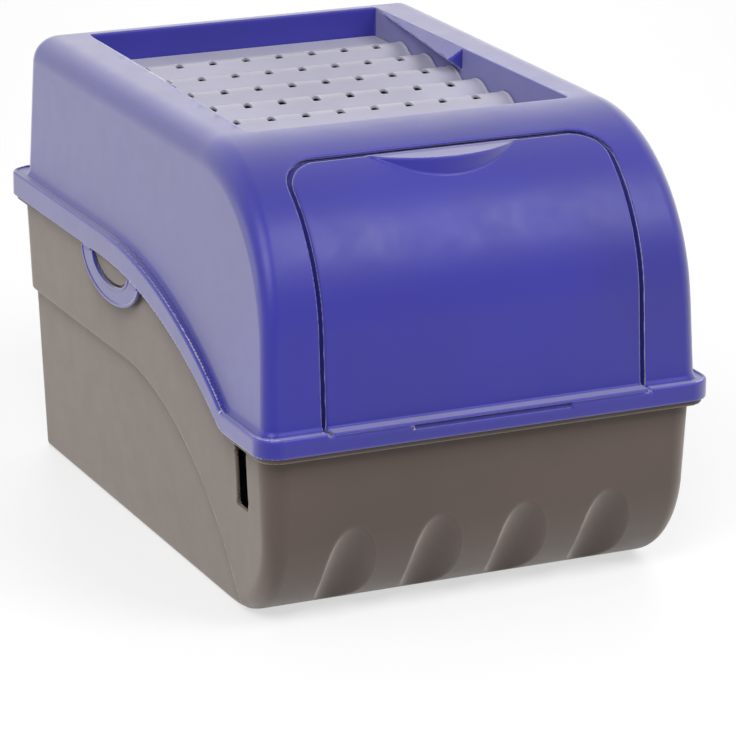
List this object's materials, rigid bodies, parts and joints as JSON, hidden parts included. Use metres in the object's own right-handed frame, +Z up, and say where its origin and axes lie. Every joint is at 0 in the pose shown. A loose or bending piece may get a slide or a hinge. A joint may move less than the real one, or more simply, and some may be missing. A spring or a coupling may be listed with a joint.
{
  "type": "kitchen storage bin",
  "caption": "Free-standing kitchen bin for potatoes and onions: a moulded tub under a lift-off hood lid with a fold-down front flap, a ribbed vent panel and side clips.",
  "frame": {"origin": "on the surface that the bin stands on, under the middle of its plan box", "axes": "+Z up, the front with the flap faces -Y, the back faces +Y, +X is to the right for someone who faces the flap"},
  "size_m": [0.28, 0.4, 0.2639],
  "materials": {
    "taupe_plastic": "satin moulded polypropylene, grey-brown, with a faint moulded grain",
    "indigo_plastic": "satin moulded polypropylene, deep blue-violet, with a faint moulded grain",
    "lavender_plastic": "satin moulded polypropylene, pale lavender grey, with a faint moulded grain"
  },
  "bodies": {
    "tub": {"tub": "taupe_plastic"},
    "lid": {"lid_hood": "indigo_plastic", "vent_panel": "lavender_plastic", "flap_hinge_left": "indigo_plastic", "flap_hinge_right": "indigo_plastic", "clip_hinge_left": "indigo_plastic", "clip_hinge_right": "indigo_plastic"},
    "flap": {"front_flap": "indigo_plastic"},
    "clip_left": {"side_clip_left": "indigo_plastic"},
    "clip_right": {"side_clip_right": "indigo_plastic"}
  },
  "joints": [
    {"name": "lid_lift", "type": "slide", "parent": "tub", "child": "lid", "axis": [0, 0, 1], "range_m": [0, 0.08]},
    {"name": "flap_hinge", "type": "hinge", "parent": "lid", "child": "flap", "pos_m": [0, -0.2, 0.1187], "axis": [1, 0, 0], "range_deg": [0, 150], "deforming": ["flap_hinge_left", "flap_hinge_right"]},
    {"name": "clip_left_hinge", "type": "hinge", "parent": "lid", "child": "clip_left", "pos_m": [-0.1398, 0.026, 0.1618], "axis": [0, 1, 0], "range_deg": [0, 50], "stiffness_Nm_per_rad": 0.005, "deforming": ["clip_hinge_left"]},
    {"name": "clip_right_hinge", "type": "hinge", "parent": "lid", "child": "clip_right", "pos_m": [0.1398, 0.026, 0.1618], "axis": [0, -1, 0], "range_deg": [0, 50], "stiffness_Nm_per_rad": 0.005, "deforming": ["clip_hinge_right"]}
  ]
}
